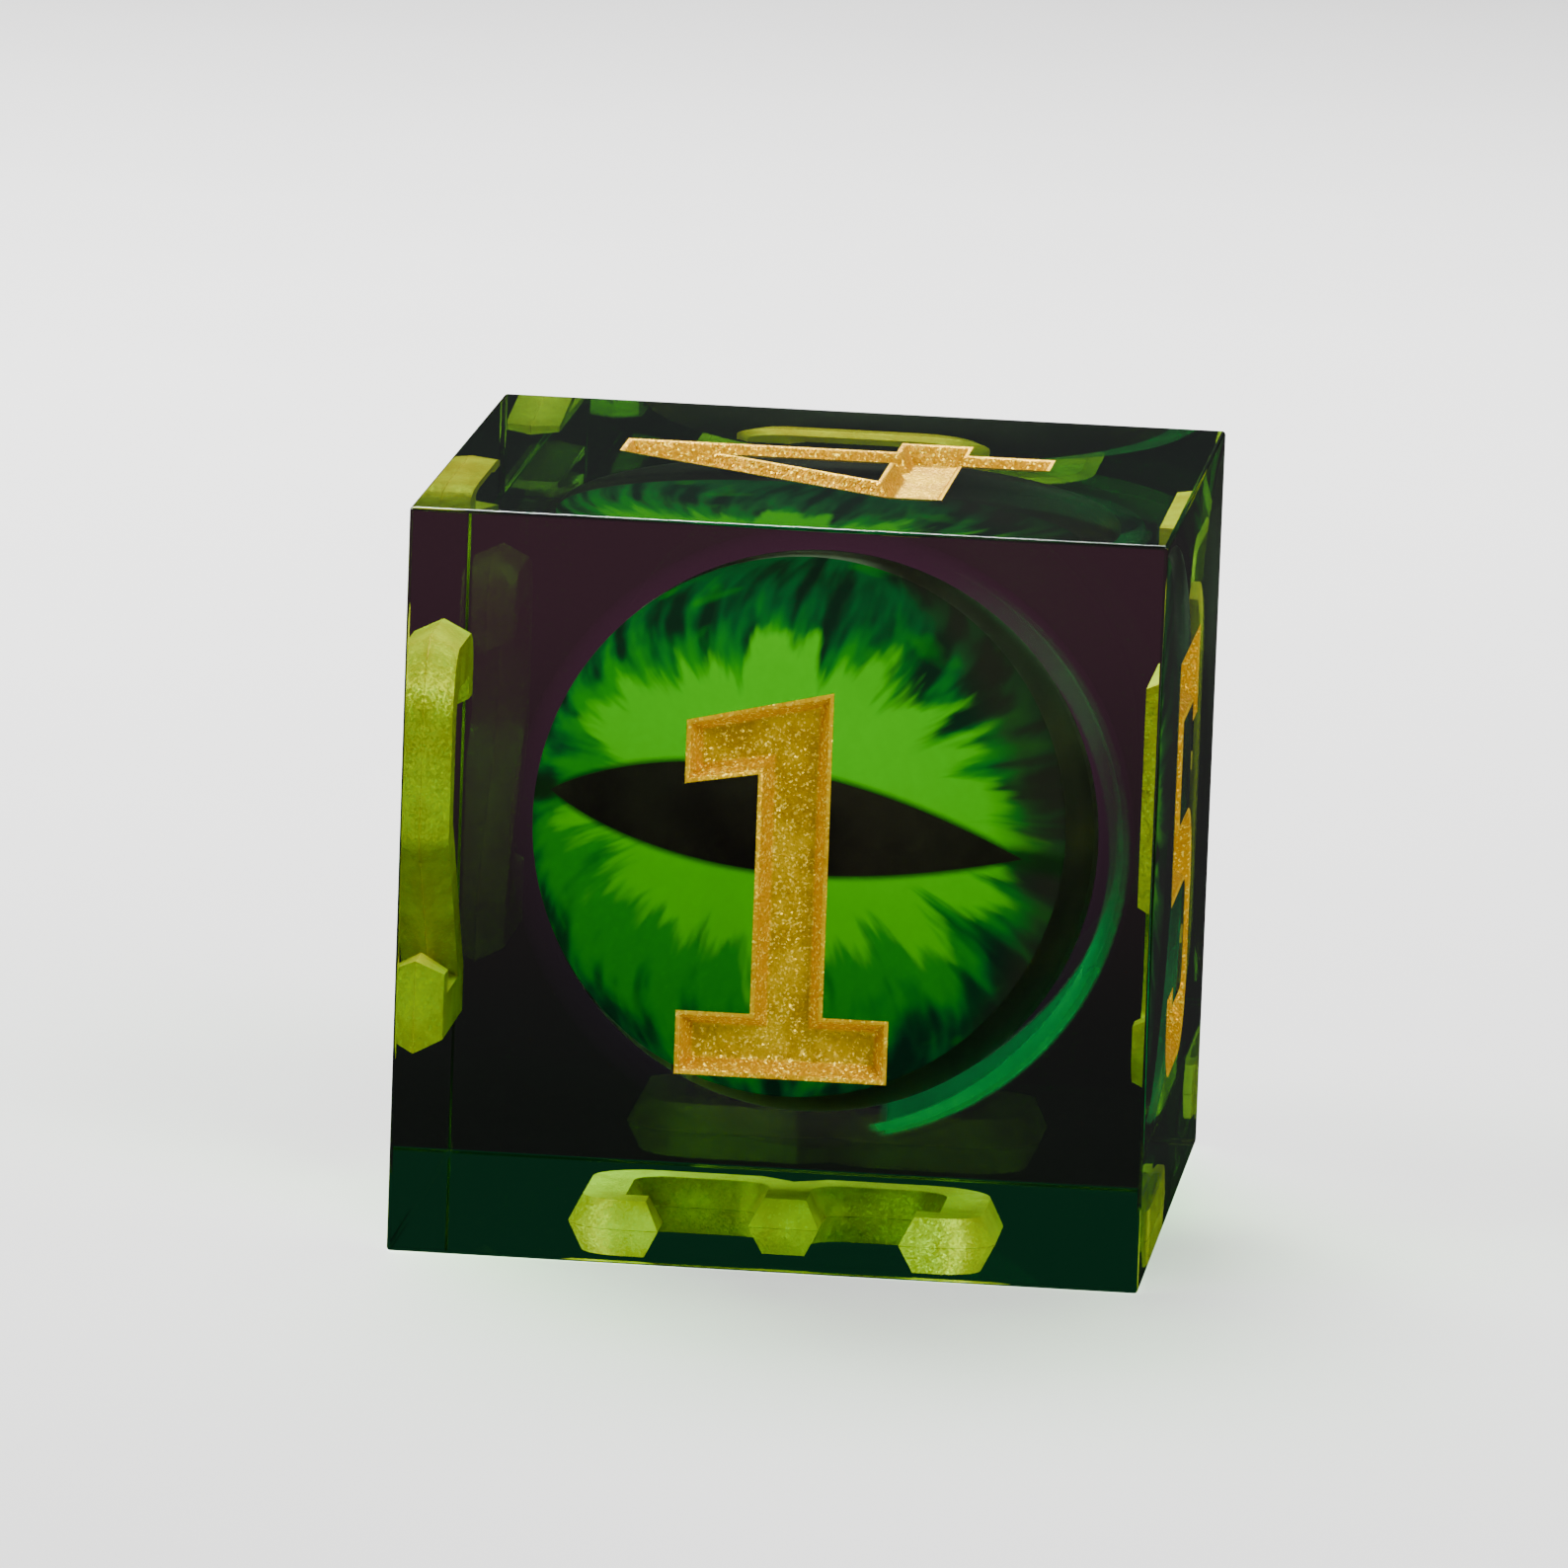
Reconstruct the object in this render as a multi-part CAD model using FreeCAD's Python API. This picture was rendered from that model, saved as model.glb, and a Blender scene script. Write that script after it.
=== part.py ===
"""Six-sided resin die with an eye inside it.

A clear green casting holds a thin, liquid-filled capsule.  A weighted eyeball, a
little smaller than the capsule, turns in the liquid.  Each face has an engraved
numeral, and the engraving is coated with gold paint.

Frame: +Z up, the face with the 1 looks along -Y.  The origin is the middle of the
face that the die stands on.  All dimensions are in millimetres.
"""
import FreeCAD
import Part
import math
import os
from FreeCAD import Vector, Rotation, Placement

# ---- casting ----------------------------------------------------------------
CUBE = 16.0                # edge length of the die
EDGE_RADIUS = 0.08         # sharp-edged casting, only just broken at the edges

# ---- engraving --------------------------------------------------------------
RECESS_DEPTH = 0.60        # depth of the engraved numerals
RECESS_DRAFT = 0.30        # how far the walls lean inwards over that depth
PAINT_DROP = 0.02          # the paint stops this far below the face
PAINT_RIM = 0.10           # width of the paint at the mouth of the engraving
PAINT_WALL = 0.32          # inset of the paint's hollow at its floor
PAINT_FLOOR = 0.42         # depth of the paint's hollow
STROKE = 1.50              # stroke width of the numerals

# ---- capsule and liquid -----------------------------------------------------
CAPSULE_AT = (0.45, 0.0, CUBE / 2 + 0.42)    # cast in slightly off centre
CAPSULE_OUTER = 6.72       # outer radius
CAPSULE_INNER = 6.45       # inner radius
LIQUID_GAP = 0.03          # film left free on both sides of the liquid

# ---- eyeball ----------------------------------------------------------------
FLOAT_SHIFT = 0.20         # the ball floats towards the upper left of the capsule
BALL_RADIUS = 6.07         # plastic ball
PRINT_RADIUS = 6.12        # outside of the printed eye
BALL_HOLLOW = 5.07         # radius of the hollow
LIP_RADIUS = 5.55          # locating lip between the halves
LIP_HEIGHT = 0.50
IRIS_ANGLE = 72.0          # half angle of the printed iris, degrees
SLIT_ANGLE = 58.0          # half length of the slit pupil, as an angle
SLIT_HALF_WIDTH = 1.10
EYE_YAW = 8.0              # gaze at rest: degrees to the left of -Y ...
EYE_PITCH = 9.0            # ... and upwards
EYE_ROLL = -4.3            # the slit's right end hangs this much lower
WEIGHT_LEVEL = 3.95        # the keel weight fills the hollow below this level
WEIGHT_TO_PRINT = 7.85 / 1.05   # density of the weight against that of the print

HALF = CUBE / 2

# Numeral outlines: (right, up, corner radius), seen from outside the die.
# A zero radius is a sharp corner.  The second list of a numeral is the island
# that stands inside a closed loop.
S = STROKE
ONE = [(-1.98, 3.78, 0), (1.10, 4.50, 0), (1.10, -2.45, 0), (2.50, -2.45, 0),
       (2.50, -3.81, 0), (-2.00, -3.81, 0), (-2.00, -2.45, 0), (-0.43, -2.45, 0),
       (-0.43, 2.70, 0), (-1.98, 2.43, 0)]

TWO = [(-2.80, 4.55, 1.2), (2.80, 4.55, 1.7), (2.80, 0.03, 0.6), (-0.45, -2.90, 0),
       (2.80 - S, -2.90, 0), (2.80 - S, -2.40, 0), (2.80, -2.40, 0), (2.80, -4.40, 0),
       (-2.80, -4.40, 0), (-2.80, -3.00, 0), (2.80 - S, 0.69, 0.4),
       (2.80 - S, 4.55 - S, 0.5), (S - 2.80, 4.55 - S, 0), (S - 2.80, 2.55, 0),
       (-2.80, 2.55, 0)]

THREE = [(-2.80, 4.60, 1.2), (2.80, 4.60, 1.7), (2.80, 0.60, 0.5), (2.30, 0.0, 0),
         (2.80, -0.60, 0.5), (2.80, -4.60, 1.7), (-2.80, -4.60, 1.2), (-2.80, -2.60, 0),
         (S - 2.80, -2.60, 0), (S - 2.80, S - 4.60, 0), (2.80 - S, S - 4.60, 0.5),
         (2.80 - S, -S / 2, 0.5), (-1.20, -S / 2, 0), (-1.20, S / 2, 0),
         (2.80 - S, S / 2, 0.5), (2.80 - S, 4.60 - S, 0.5), (S - 2.80, 4.60 - S, 0),
         (S - 2.80, 2.60, 0), (-2.80, 2.60, 0)]

FOUR = [(0.95, 4.60, 0), (2.65, 4.60, 0), (2.65, -1.25, 0), (3.90, -1.25, 0),
        (3.90, -2.80, 0), (2.65, -2.80, 0), (2.65, -4.70, 0), (1.15, -4.70, 0),
        (1.15, -2.80, 0), (-3.50, -2.80, 0), (-3.50, -1.60, 0)]
FOUR_ISLAND = [(1.15, -1.25, 0), (1.15, 2.31, 0), (-1.40, -1.25, 0)]

FIVE = [(-2.70, 4.60, 0), (2.70, 4.60, 0), (2.70, 2.65, 0), (2.70 - 1.3, 2.65, 0),
        (2.70 - 1.3, 4.60 - S, 0), (S - 2.70, 4.60 - S, 0), (S - 2.70, 0.80, 0),
        (2.70, 0.80, 1.7), (2.70, -4.60, 1.7), (-2.70, -4.60, 1.2), (-2.70, -2.70, 0),
        (S - 2.70, -2.70, 0), (S - 2.70, S - 4.60, 0), (2.70 - S, S - 4.60, 0.5),
        (2.70 - S, 0.80 - S, 0.5), (-2.70, 0.80 - S, 0)]

SIX = [(-2.80, 4.60, 1.7), (2.80, 4.60, 1.2), (2.80, 2.65, 0), (2.80 - S, 2.65, 0),
       (2.80 - S, 4.60 - S, 0), (S - 2.80, 4.60 - S, 0.5), (S - 2.80, 0.80, 0),
       (2.80, 0.80, 1.7), (2.80, -4.60, 1.7), (-2.80, -4.60, 1.7)]
SIX_ISLAND = [(S - 2.80, 0.80 - S, 0.5), (2.80 - S, 0.80 - S, 0.5),
              (2.80 - S, S - 4.60, 0.5), (S - 2.80, S - 4.60, 0.5)]

# Each face: numeral, outlines, outward normal, the reader's right, the reader's up.
# Opposite faces add up to seven.
FACES = [
    ("1", ONE, None, (0, -1, 0), (1, 0, 0), (0, 0, 1)),
    ("2", TWO, None, (-1, 0, 0), (0, -1, 0), (0, 0, 1)),
    ("3", THREE, None, (0, 0, -1), (0, 1, 0), (1, 0, 0)),
    ("4", FOUR, FOUR_ISLAND, (0, 0, 1), (0, 1, 0), (-1, 0, 0)),
    ("5", FIVE, None, (1, 0, 0), (0, 1, 0), (0, 0, 1)),
    ("6", SIX, SIX_ISLAND, (0, 1, 0), (-1, 0, 0), (0, 0, 1)),
]


def signed_area(points):
    """Twice the signed area, so that the sign gives the direction of travel."""
    ring = list(zip(points, points[1:] + points[:1]))
    return sum(a[0] * b[1] - b[0] * a[1] for a, b in ring)


def inset(points, distance):
    """Move every side of the outline inwards, keeping the corners in step."""
    turn = 1.0 if signed_area(points) > 0 else -1.0
    moved = []
    count = len(points)
    for i, (x, y, radius) in enumerate(points):
        (px, py, _), (nx, ny, _) = points[i - 1], points[(i + 1) % count]
        before = Vector(x - px, y - py, 0).normalize()
        after = Vector(nx - x, ny - y, 0).normalize()
        n0 = Vector(-before.y, before.x, 0) * turn
        n1 = Vector(-after.y, after.x, 0) * turn
        shift = (n0 + n1) * (distance / (1.0 + n0.dot(n1)))
        if radius:
            convex = (before.x * after.y - before.y * after.x) * turn > 0
            radius += -distance if convex else distance
        moved.append((x + shift.x, y + shift.y, radius))
    return moved


def face_wire(points, depth, normal, right, up):
    """Closed wire of an outline, laid into one face of the die at a depth."""
    n, r, u = Vector(*normal), Vector(*right), Vector(*up)
    centre = Vector(0, 0, HALF) + n * (HALF - depth)

    def lay(p):
        return centre + r * p.x + u * p.y

    edges, last, first = [], None, None
    count = len(points)
    for i, (x, y, radius) in enumerate(points):
        corner = Vector(x, y, 0)
        if radius:
            to_prev = (Vector(*points[i - 1][:2], 0) - corner).normalize()
            to_next = (Vector(*points[(i + 1) % count][:2], 0) - corner).normalize()
            half = to_prev.getAngle(to_next) / 2
            reach = radius / math.tan(half)
            start, end = corner + to_prev * reach, corner + to_next * reach
            middle = (to_prev + to_next).normalize()
            mid = corner + middle * (radius / math.sin(half) - radius)
            arc = Part.Arc(lay(start), lay(mid), lay(end)).toShape()
        else:
            start = end = corner
            arc = None
        if last is None:
            first = start
        else:
            edges.append(Part.makeLine(lay(last), lay(start)))
        if arc:
            edges.append(arc)
        last = end
    edges.append(Part.makeLine(lay(last), lay(first)))
    return Part.Wire(edges)


def tapered(points, island, levels, frame):
    """Solid between two depths of a numeral; levels are (depth, inset) pairs."""
    body = Part.makeLoft([face_wire(inset(points, d), z, *frame) for z, d in levels],
                         True, True)
    if island:
        post = [face_wire(inset(island, -d), z, *frame) for z, d in levels]
        body = body.cut(Part.makeLoft(post, True, True))
    return body


def slope(depth):
    """Inset of the engraving's wall at a depth."""
    return RECESS_DRAFT * depth / RECESS_DEPTH


def engraving(points, island, frame):
    """Cutter for the engraved numeral; it starts a little above the face."""
    above = -0.05
    return tapered(points, island,
                   [(above, slope(above)), (RECESS_DEPTH, RECESS_DRAFT)], frame)


def paint(points, island, frame):
    """Coat of paint on the walls and the floor of the engraving."""
    fill = tapered(points, island,
                   [(PAINT_DROP, slope(PAINT_DROP)), (RECESS_DEPTH, RECESS_DRAFT)], frame)
    above = -0.05
    lean = (PAINT_WALL - PAINT_RIM) / PAINT_FLOOR
    hollow = tapered(points, island,
                     [(above, PAINT_RIM + lean * above), (PAINT_FLOOR, PAINT_WALL)], frame)
    return fill.cut(hollow)


def ball(radius, centre=(0, 0, 0)):
    return Part.makeSphere(radius, Vector(*centre))


def half_space(side, centre=(0, 0, 0), start=0.0):
    """Box on one side (+1 or -1) of the plane y = start, about a centre."""
    size = 20.0
    y = start if side > 0 else start - size
    corner = Vector(centre[0] - size / 2, centre[1] + y, centre[2] - size / 2)
    return Part.makeBox(size, size, size, corner)


def single(shape):
    """The only solid of a boolean result."""
    solids = shape.removeSplitter().Solids
    if len(solids) != 1:
        raise ValueError("expected one solid, found %d" % len(solids))
    return solids[0]


def slit_prism():
    """Lens-shaped prism along -Y that cuts the slit pupil out of the iris."""
    reach = PRINT_RADIUS * math.sin(math.radians(SLIT_ANGLE))
    left, right = Vector(-reach, 0, 0), Vector(reach, 0, 0)
    top, bottom = Vector(0, 0, SLIT_HALF_WIDTH), Vector(0, 0, -SLIT_HALF_WIDTH)
    wire = Part.Wire([Part.Arc(left, top, right).toShape(),
                      Part.Arc(right, bottom, left).toShape()])
    return Part.Face(wire).extrude(Vector(0, -10, 0))


parts = {}

# ---- numerals and casting ---------------------------------------------------
casting = Part.makeBox(CUBE, CUBE, CUBE, Vector(-HALF, -HALF, 0))
casting = casting.makeFillet(EDGE_RADIUS, casting.Edges)
for digit, outline, island, normal, right, up in FACES:
    frame = (normal, right, up)
    casting = casting.cut(engraving(outline, island, frame))
    parts["numeral_" + digit] = single(paint(outline, island, frame))
parts["resin_body"] = single(casting.cut(ball(CAPSULE_OUTER, CAPSULE_AT)))

# ---- capsule: two thin hemispheres, joined on the plane of the 1 -------------
shell = ball(CAPSULE_OUTER, CAPSULE_AT).cut(ball(CAPSULE_INNER, CAPSULE_AT))
parts["capsule_front"] = single(shell.common(half_space(-1, CAPSULE_AT)))
parts["capsule_rear"] = single(shell.common(half_space(1, CAPSULE_AT)))

# ---- liquid between the capsule and the eyeball ------------------------------
lean = FLOAT_SHIFT / math.sqrt(2)
EYE_AT = (CAPSULE_AT[0] - lean, CAPSULE_AT[1], CAPSULE_AT[2] + lean)
outside = ball(CAPSULE_INNER - LIQUID_GAP, CAPSULE_AT)
parts["core_liquid"] = single(outside.cut(ball(PRINT_RADIUS + LIQUID_GAP, EYE_AT)))

# ---- eyeball, first built looking along -Y about the origin ------------------
shell = ball(BALL_RADIUS).cut(ball(BALL_HOLLOW))
lip = Part.makeCylinder(LIP_RADIUS, LIP_HEIGHT, Vector(0, 0, 0), Vector(0, -1, 0))
eye = {
    "eyeball_front": single(shell.common(half_space(-1)).cut(lip)),
    "eyeball_rear": single(shell.common(half_space(1)).fuse(shell.common(lip))),
}
edge_of_iris = -PRINT_RADIUS * math.cos(math.radians(IRIS_ANGLE))
coat = ball(PRINT_RADIUS).cut(ball(BALL_RADIUS)).common(half_space(-1, start=edge_of_iris))
slit = slit_prism()
eye["iris_print"] = single(coat.cut(slit))
eye["pupil_print"] = single(coat.common(slit))

turn = (Rotation(Vector(0, 0, 1), -EYE_YAW)
        * Rotation(Vector(1, 0, 0), -EYE_PITCH)
        * Rotation(Vector(0, 1, 0), -EYE_ROLL))
for name, shape in eye.items():
    shape.Placement = Placement(Vector(*EYE_AT), turn)
    parts[name] = shape

# ---- keel weight in the bottom of the hollow ---------------------------------
# It leans back a little to balance the print, so the gaze at rest is a balanced one.
below = Part.makeBox(20, 20, 20, Vector(-10, -10, -20 - WEIGHT_LEVEL))
weight = single(ball(BALL_HOLLOW).common(below))
pull = Vector(0, 0, 0)
for name in ("iris_print", "pupil_print"):
    pull += (parts[name].CenterOfMass - Vector(*EYE_AT)) * parts[name].Volume
keel = weight.Volume * WEIGHT_TO_PRINT * weight.CenterOfMass.Length
balance = Vector(-pull.x / keel, -pull.y / keel, -1)
weight.Placement = Placement(Vector(*EYE_AT), Rotation(Vector(0, 0, -1), balance))
parts["eye_weight"] = weight

os.makedirs("parts", exist_ok=True)
for name, shape in parts.items():
    if not shape.isValid():
        raise ValueError(name + " is not a valid solid")
    shape.exportStep("parts/" + name + ".step")
    print("%-14s %9.3f mm3" % (name, shape.Volume))
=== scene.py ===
"""Looks of the six-sided resin die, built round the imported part.

Shapes are worked out in millimetres and turned into metres when their mesh is made. The
stage, the lamps and the camera are in metres.
"""
import math

import bmesh
import bpy
import numpy as np
from mathutils import Matrix, Vector
from mathutils.geometry import delaunay_2d_cdt


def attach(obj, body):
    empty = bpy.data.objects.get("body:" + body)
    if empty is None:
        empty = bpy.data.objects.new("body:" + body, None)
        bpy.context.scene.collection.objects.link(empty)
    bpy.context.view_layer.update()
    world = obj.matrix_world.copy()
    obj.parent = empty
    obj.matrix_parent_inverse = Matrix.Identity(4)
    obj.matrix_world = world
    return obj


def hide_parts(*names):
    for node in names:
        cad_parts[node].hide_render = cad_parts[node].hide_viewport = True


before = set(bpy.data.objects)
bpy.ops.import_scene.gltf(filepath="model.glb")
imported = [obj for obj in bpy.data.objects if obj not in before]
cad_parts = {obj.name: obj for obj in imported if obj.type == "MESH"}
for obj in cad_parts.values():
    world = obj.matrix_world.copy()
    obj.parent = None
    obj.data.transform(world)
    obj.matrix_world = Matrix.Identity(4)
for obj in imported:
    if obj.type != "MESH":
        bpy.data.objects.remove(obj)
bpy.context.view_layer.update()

MM = 0.001

# Sizes of the part, in mm.
HALF = 8.0                      # half the edge of the die
EDGE = 0.08                     # radius of its edges
DEPTH, DRAFT = 0.60, 0.30       # engraving: depth, and lean of its walls
CAPSULE_AT = np.array((0.45, 0.0, 8.42))
CAVITY_R, CAPSULE_IN_R = 6.72, 6.45
PRINT_R, BALL_R = 6.12, 6.07
FLOAT_SHIFT = 0.20              # from the capsule's middle to the ball's
EYE_AT = CAPSULE_AT + np.array((-1.0, 0.0, 1.0)) * FLOAT_SHIFT / math.sqrt(2)
EYE_TURN = (
    Matrix.Rotation(math.radians(-8.0), 4, "Z")
    @ Matrix.Rotation(math.radians(-9.0), 4, "X")
    @ Matrix.Rotation(math.radians(4.3), 4, "Y")
)
IRIS_ANGLE = math.radians(72.0)                         # from the gaze to the print's edge
SLIT_REACH = PRINT_R * math.sin(math.radians(58.0))     # half the slit's width
SLIT_HALF = 1.10                                        # half its height
SLIT_ARC_R = (SLIT_REACH ** 2 + SLIT_HALF ** 2) / (2 * SLIT_HALF)

# Room left between the drawn pieces, in mm.
GLUE_GAP = 0.004                # resin to capsule
LIQUID_GAP = 0.01               # capsule to liquid
LIQUID_LAP = 0.06               # liquid into the ball, so that no film of air shows

# Fineness of the meshes.
CORNER_STEPS = 10
EDGE_SEGMENTS = 4
BALL_ROWS, BALL_COLUMNS = 96, 192
PRINT_ROWS, PRINT_COLUMNS = 40, 360
POLE = 1e-9                     # a ring with a smaller sine of its angle is one point
FILL_TOLERANCE = 1e-7           # mm
WELD = 2e-7                     # m
# An edge that turns by more than this many degrees stays sharp.
SHARP_RESIN, SHARP_GOLD, SHARP_PRINT, SHARP_BALL = 32.0, 28.0, 50.0, 60.0

# ------------------------------------------------------------------ numerals
# (right, up, corner radius) in mm, seen from outside; the same outlines as the part's.
S = 1.5                         # width of a stroke
ONE = [(-1.98, 3.78, 0), (1.10, 4.50, 0), (1.10, -2.45, 0), (2.50, -2.45, 0),
       (2.50, -3.81, 0), (-2.00, -3.81, 0), (-2.00, -2.45, 0), (-0.43, -2.45, 0),
       (-0.43, 2.70, 0), (-1.98, 2.43, 0)]
TWO = [(-2.80, 4.55, 1.2), (2.80, 4.55, 1.7), (2.80, 0.03, 0.6), (-0.45, -2.90, 0),
       (2.80 - S, -2.90, 0), (2.80 - S, -2.40, 0), (2.80, -2.40, 0), (2.80, -4.40, 0),
       (-2.80, -4.40, 0), (-2.80, -3.00, 0), (2.80 - S, 0.69, 0.4),
       (2.80 - S, 4.55 - S, 0.5), (S - 2.80, 4.55 - S, 0), (S - 2.80, 2.55, 0),
       (-2.80, 2.55, 0)]
THREE = [(-2.80, 4.60, 1.2), (2.80, 4.60, 1.7), (2.80, 0.60, 0.5), (2.30, 0.0, 0),
         (2.80, -0.60, 0.5), (2.80, -4.60, 1.7), (-2.80, -4.60, 1.2), (-2.80, -2.60, 0),
         (S - 2.80, -2.60, 0), (S - 2.80, S - 4.60, 0), (2.80 - S, S - 4.60, 0.5),
         (2.80 - S, -S / 2, 0.5), (-1.20, -S / 2, 0), (-1.20, S / 2, 0),
         (2.80 - S, S / 2, 0.5), (2.80 - S, 4.60 - S, 0.5), (S - 2.80, 4.60 - S, 0),
         (S - 2.80, 2.60, 0), (-2.80, 2.60, 0)]
FOUR = [(0.95, 4.60, 0), (2.65, 4.60, 0), (2.65, -1.25, 0), (3.90, -1.25, 0),
        (3.90, -2.80, 0), (2.65, -2.80, 0), (2.65, -4.70, 0), (1.15, -4.70, 0),
        (1.15, -2.80, 0), (-3.50, -2.80, 0), (-3.50, -1.60, 0)]
FOUR_ISLAND = [(1.15, -1.25, 0), (1.15, 2.31, 0), (-1.40, -1.25, 0)]
FIVE = [(-2.70, 4.60, 0), (2.70, 4.60, 0), (2.70, 2.65, 0), (2.70 - 1.3, 2.65, 0),
        (2.70 - 1.3, 4.60 - S, 0), (S - 2.70, 4.60 - S, 0), (S - 2.70, 0.80, 0),
        (2.70, 0.80, 1.7), (2.70, -4.60, 1.7), (-2.70, -4.60, 1.2), (-2.70, -2.70, 0),
        (S - 2.70, -2.70, 0), (S - 2.70, S - 4.60, 0), (2.70 - S, S - 4.60, 0.5),
        (2.70 - S, 0.80 - S, 0.5), (-2.70, 0.80 - S, 0)]
SIX = [(-2.80, 4.60, 1.7), (2.80, 4.60, 1.2), (2.80, 2.65, 0), (2.80 - S, 2.65, 0),
       (2.80 - S, 4.60 - S, 0), (S - 2.80, 4.60 - S, 0.5), (S - 2.80, 0.80, 0),
       (2.80, 0.80, 1.7), (2.80, -4.60, 1.7), (-2.80, -4.60, 1.7)]
SIX_ISLAND = [(S - 2.80, 0.80 - S, 0.5), (2.80 - S, 0.80 - S, 0.5),
              (2.80 - S, S - 4.60, 0.5), (S - 2.80, S - 4.60, 0.5)]
# numeral, outlines, outward normal, the reader's right, the reader's up
FACES = [
    ("1", ONE, None, (0, -1, 0), (1, 0, 0), (0, 0, 1)),
    ("2", TWO, None, (-1, 0, 0), (0, -1, 0), (0, 0, 1)),
    ("3", THREE, None, (0, 0, -1), (0, 1, 0), (1, 0, 0)),
    ("4", FOUR, FOUR_ISLAND, (0, 0, 1), (0, 1, 0), (-1, 0, 0)),
    ("5", FIVE, None, (1, 0, 0), (0, 1, 0), (0, 0, 1)),
    ("6", SIX, SIX_ISLAND, (0, 1, 0), (-1, 0, 0), (0, 0, 1)),
]


def area2(points):
    """Twice the area inside the outline, above 0 when it runs anticlockwise."""
    ring = zip(points, points[1:] + points[:1])
    return sum(a[0] * b[1] - b[0] * a[1] for a, b in ring)


def inset(points, distance):
    """The outline with each side moved inwards and its corners kept in step."""
    turn = 1.0 if area2(points) > 0 else -1.0
    moved = []
    for i, (x, y, radius) in enumerate(points):
        (px, py, _), (nx, ny, _) = points[i - 1], points[(i + 1) % len(points)]
        before = Vector((x - px, y - py)).normalized()
        after = Vector((nx - x, ny - y)).normalized()
        n0, n1 = Vector((-before.y, before.x)) * turn, Vector((-after.y, after.x)) * turn
        shift = (n0 + n1) * (distance / (1.0 + n0.dot(n1)))
        if radius:
            convex = (before.x * after.y - before.y * after.x) * turn > 0
            radius += -distance if convex else distance
        moved.append((x + shift.x, y + shift.y, radius))
    return moved


def rounded(points):
    """The outline as a closed list of plain points, with its corners rounded."""
    out = []
    for i, (x, y, radius) in enumerate(points):
        corner = Vector((x, y))
        if not radius:
            out.append(corner)
            continue
        back = (Vector(points[i - 1][:2]) - corner).normalized()
        on = (Vector(points[(i + 1) % len(points)][:2]) - corner).normalized()
        half = back.angle(on) / 2
        centre = corner + (back + on).normalized() * (radius / math.sin(half))
        start = corner + back * (radius / math.tan(half)) - centre
        end = corner + on * (radius / math.tan(half)) - centre
        sweep = start.angle_signed(end)
        for k in range(CORNER_STEPS + 1):
            a = -sweep * k / CORNER_STEPS
            c, s = math.cos(a), math.sin(a)
            turned = Vector((start.x * c - start.y * s, start.x * s + start.y * c))
            out.append(centre + turned)
    return out


def inside(p, loop):
    """Whether the point is inside the closed loop."""
    hit = False
    for a, b in zip(loop, loop[1:] + loop[:1]):
        crosses = (a.y > p.y) != (b.y > p.y)
        if crosses and p.x < (b.x - a.x) * (p.y - a.y) / (b.y - a.y) + a.x:
            hit = not hit
    return hit


class Shape:
    """Collects points and faces in millimetres and turns them into one mesh."""

    def __init__(self):
        self.points, self.faces, self.values = [], [], []
        self.parts, self.part = [], 0

    def add(self, points, value=0.0):
        """Adds a loop of points and returns their numbers."""
        first = len(self.points)
        self.points += [tuple(p) for p in points]
        self.values += [value] * len(points)
        return list(range(first, first + len(points)))

    def close(self):
        """Ends a region: edges between two regions stay sharp."""
        self.parts += [self.part] * (len(self.faces) - len(self.parts))
        self.part += 1

    def join(self, a, b):
        """Quads between two closed loops, or a fan where one of them is a single point."""
        if len(a) == 1:
            self.faces += [[a[0], b[k], b[(k + 1) % len(b)]] for k in range(len(b))]
        elif len(b) == 1:
            self.faces += [[b[0], a[(k + 1) % len(a)], a[k]] for k in range(len(a))]
        else:
            for i in range(len(a)):
                j = (i + 1) % len(a)
                self.faces.append([a[i], a[j], b[j], b[i]])

    def fill(self, loops, flat, keep):
        """Triangles over the plane region for which keep(point) is true."""
        ids = [i for loop in loops for i in loop]
        edges, n = [], 0
        for loop in loops:
            edges += [(n + k, n + (k + 1) % len(loop)) for k in range(len(loop))]
            n += len(loop)
        made = delaunay_2d_cdt(flat, edges, [], 0, FILL_TOLERANCE)
        corners, triangles, sources = made[0], made[2], made[3]
        source = {k: v[0] for k, v in enumerate(sources) if v}
        for tri in triangles:
            centre = sum((corners[k] for k in tri), Vector((0, 0))) / len(tri)
            if keep(centre):
                self.faces.append([ids[source[k]] for k in tri])

    def object(self, name, sharp, matrix=None, value_name=None):
        self.close()
        mesh = bpy.data.meshes.new(name)
        mesh.from_pydata([Vector(p) * MM for p in self.points], [], self.faces)
        if value_name:
            made = mesh.attributes.new(value_name, "FLOAT", "POINT")
            made.data.foreach_set("value", self.values)
        bm = bmesh.new()
        bm.from_mesh(mesh)
        part = bm.faces.layers.int.new("part")
        for face, number in zip(bm.faces, self.parts):
            face[part] = number
            face.smooth = True
        bmesh.ops.remove_doubles(bm, verts=bm.verts, dist=WELD)
        bmesh.ops.recalc_face_normals(bm, faces=bm.faces)
        limit = math.radians(sharp)
        for edge in bm.edges:
            two = edge.link_faces
            edge.smooth = (len(two) == 2 and two[0][part] == two[1][part]
                           and edge.calc_face_angle(0) < limit)
        bm.faces.layers.int.remove(part)
        bm.to_mesh(mesh)
        bm.free()
        obj = bpy.data.objects.new(name, mesh)
        bpy.context.scene.collection.objects.link(obj)
        if matrix is not None:
            obj.matrix_world = matrix
        return obj


def layer(normal, right, up):
    """Maps (right, up, depth) on one face of the die to a point of the frame."""
    n, r, u = Vector(normal), Vector(right), Vector(up)
    centre = Vector((0, 0, HALF)) + n * HALF
    return lambda p, depth: centre + r * p.x + u * p.y - n * depth


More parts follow.
